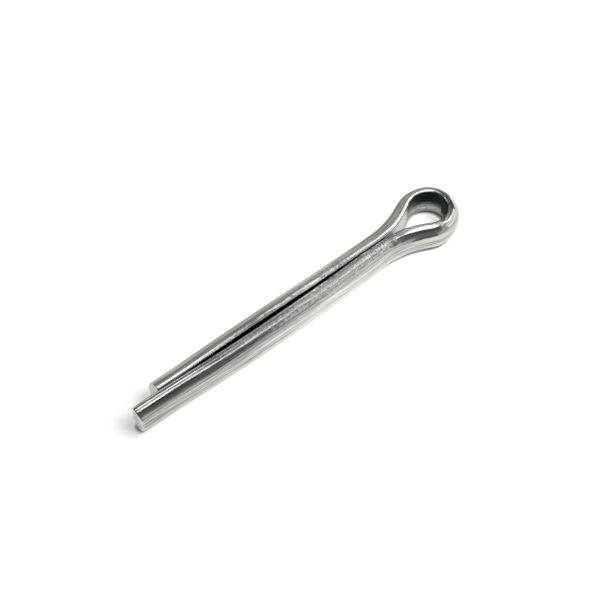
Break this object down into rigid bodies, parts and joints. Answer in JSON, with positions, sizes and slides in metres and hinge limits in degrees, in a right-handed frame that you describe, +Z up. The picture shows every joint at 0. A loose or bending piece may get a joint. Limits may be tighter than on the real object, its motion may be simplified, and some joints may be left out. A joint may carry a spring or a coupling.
{
  "type": "cotter pin",
  "caption": "Split cotter pin folded from half-round steel wire, with a teardrop eye and closed legs of unequal length, for locking a nut or clevis pin through a cross hole.",
  "frame": {"origin": "centre of the underside of the bounding box, on the surface that the pin lies on", "axes": "+X along the pin from the eye to the tips, the way it goes into its hole; +Y across the split, towards the long leg; +Z up out of the plane of the eye"},
  "size_m": [0.0518, 0.0086, 0.0044],
  "materials": {
    "bright_steel": "bright drawn wire with fine lengthwise draw lines and a few small nicks"
  },
  "bodies": {
    "root": {"cotter_pin": "bright_steel"}
  },
  "joints": []
}
